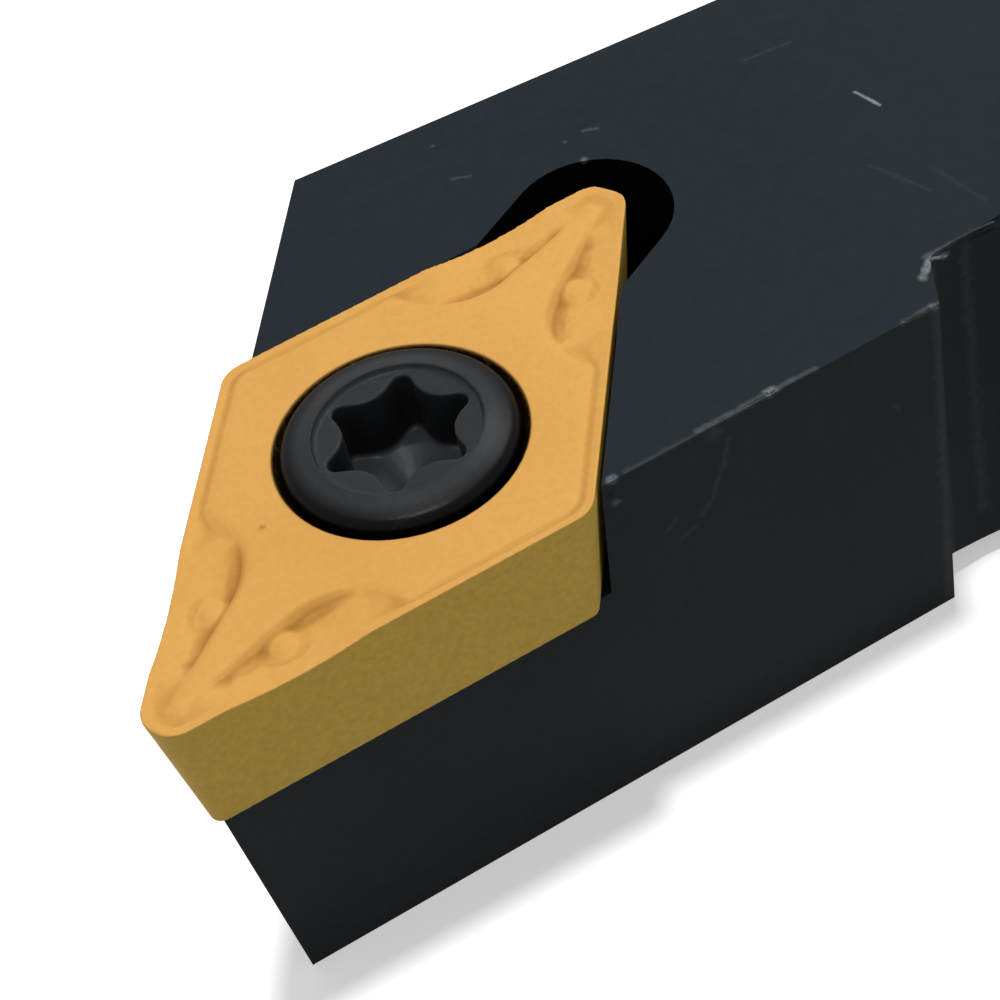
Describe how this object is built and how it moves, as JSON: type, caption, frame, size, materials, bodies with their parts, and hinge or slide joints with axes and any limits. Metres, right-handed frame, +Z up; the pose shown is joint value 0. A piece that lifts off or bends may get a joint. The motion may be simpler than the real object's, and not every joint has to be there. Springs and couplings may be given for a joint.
{
  "type": "turning tool holder",
  "caption": "Square-shank external turning tool holder with a screw-clamped diamond-shaped cutting insert at its slanted end.",
  "frame": {"origin": "middle of the shank's width on its base face, halfway along the overall length", "axes": "+Y along the shank from the cutting end to the rear end, +X towards the cutting side, +Z up from the base"},
  "size_m": [0.016, 0.1, 0.0125],
  "materials": {
    "holder_steel": "satin black oxide on steel",
    "insert_coating": "satin gold hard coating on cemented carbide",
    "screw_steel": "dark oiled steel"
  },
  "bodies": {
    "holder": {"holder_body": "holder_steel"},
    "insert": {"cutting_insert": "insert_coating"},
    "screw": {"clamp_screw": "screw_steel"}
  },
  "joints": [
    {"name": "insert_lift", "type": "slide", "parent": "holder", "child": "insert", "axis": [0, 0, 1], "range_m": [0, 0.0054]},
    {"name": "screw_turn", "type": "hinge", "parent": "insert", "child": "screw", "pos_m": [0.00459, -0.04196, 0.0121], "axis": [0, 0, 1], "range_deg": [0, 3240]}
  ],
  "couplings": [
    {"joint": "screw_turn", "follows": "insert_lift", "rad_per_m": 10472}
  ]
}
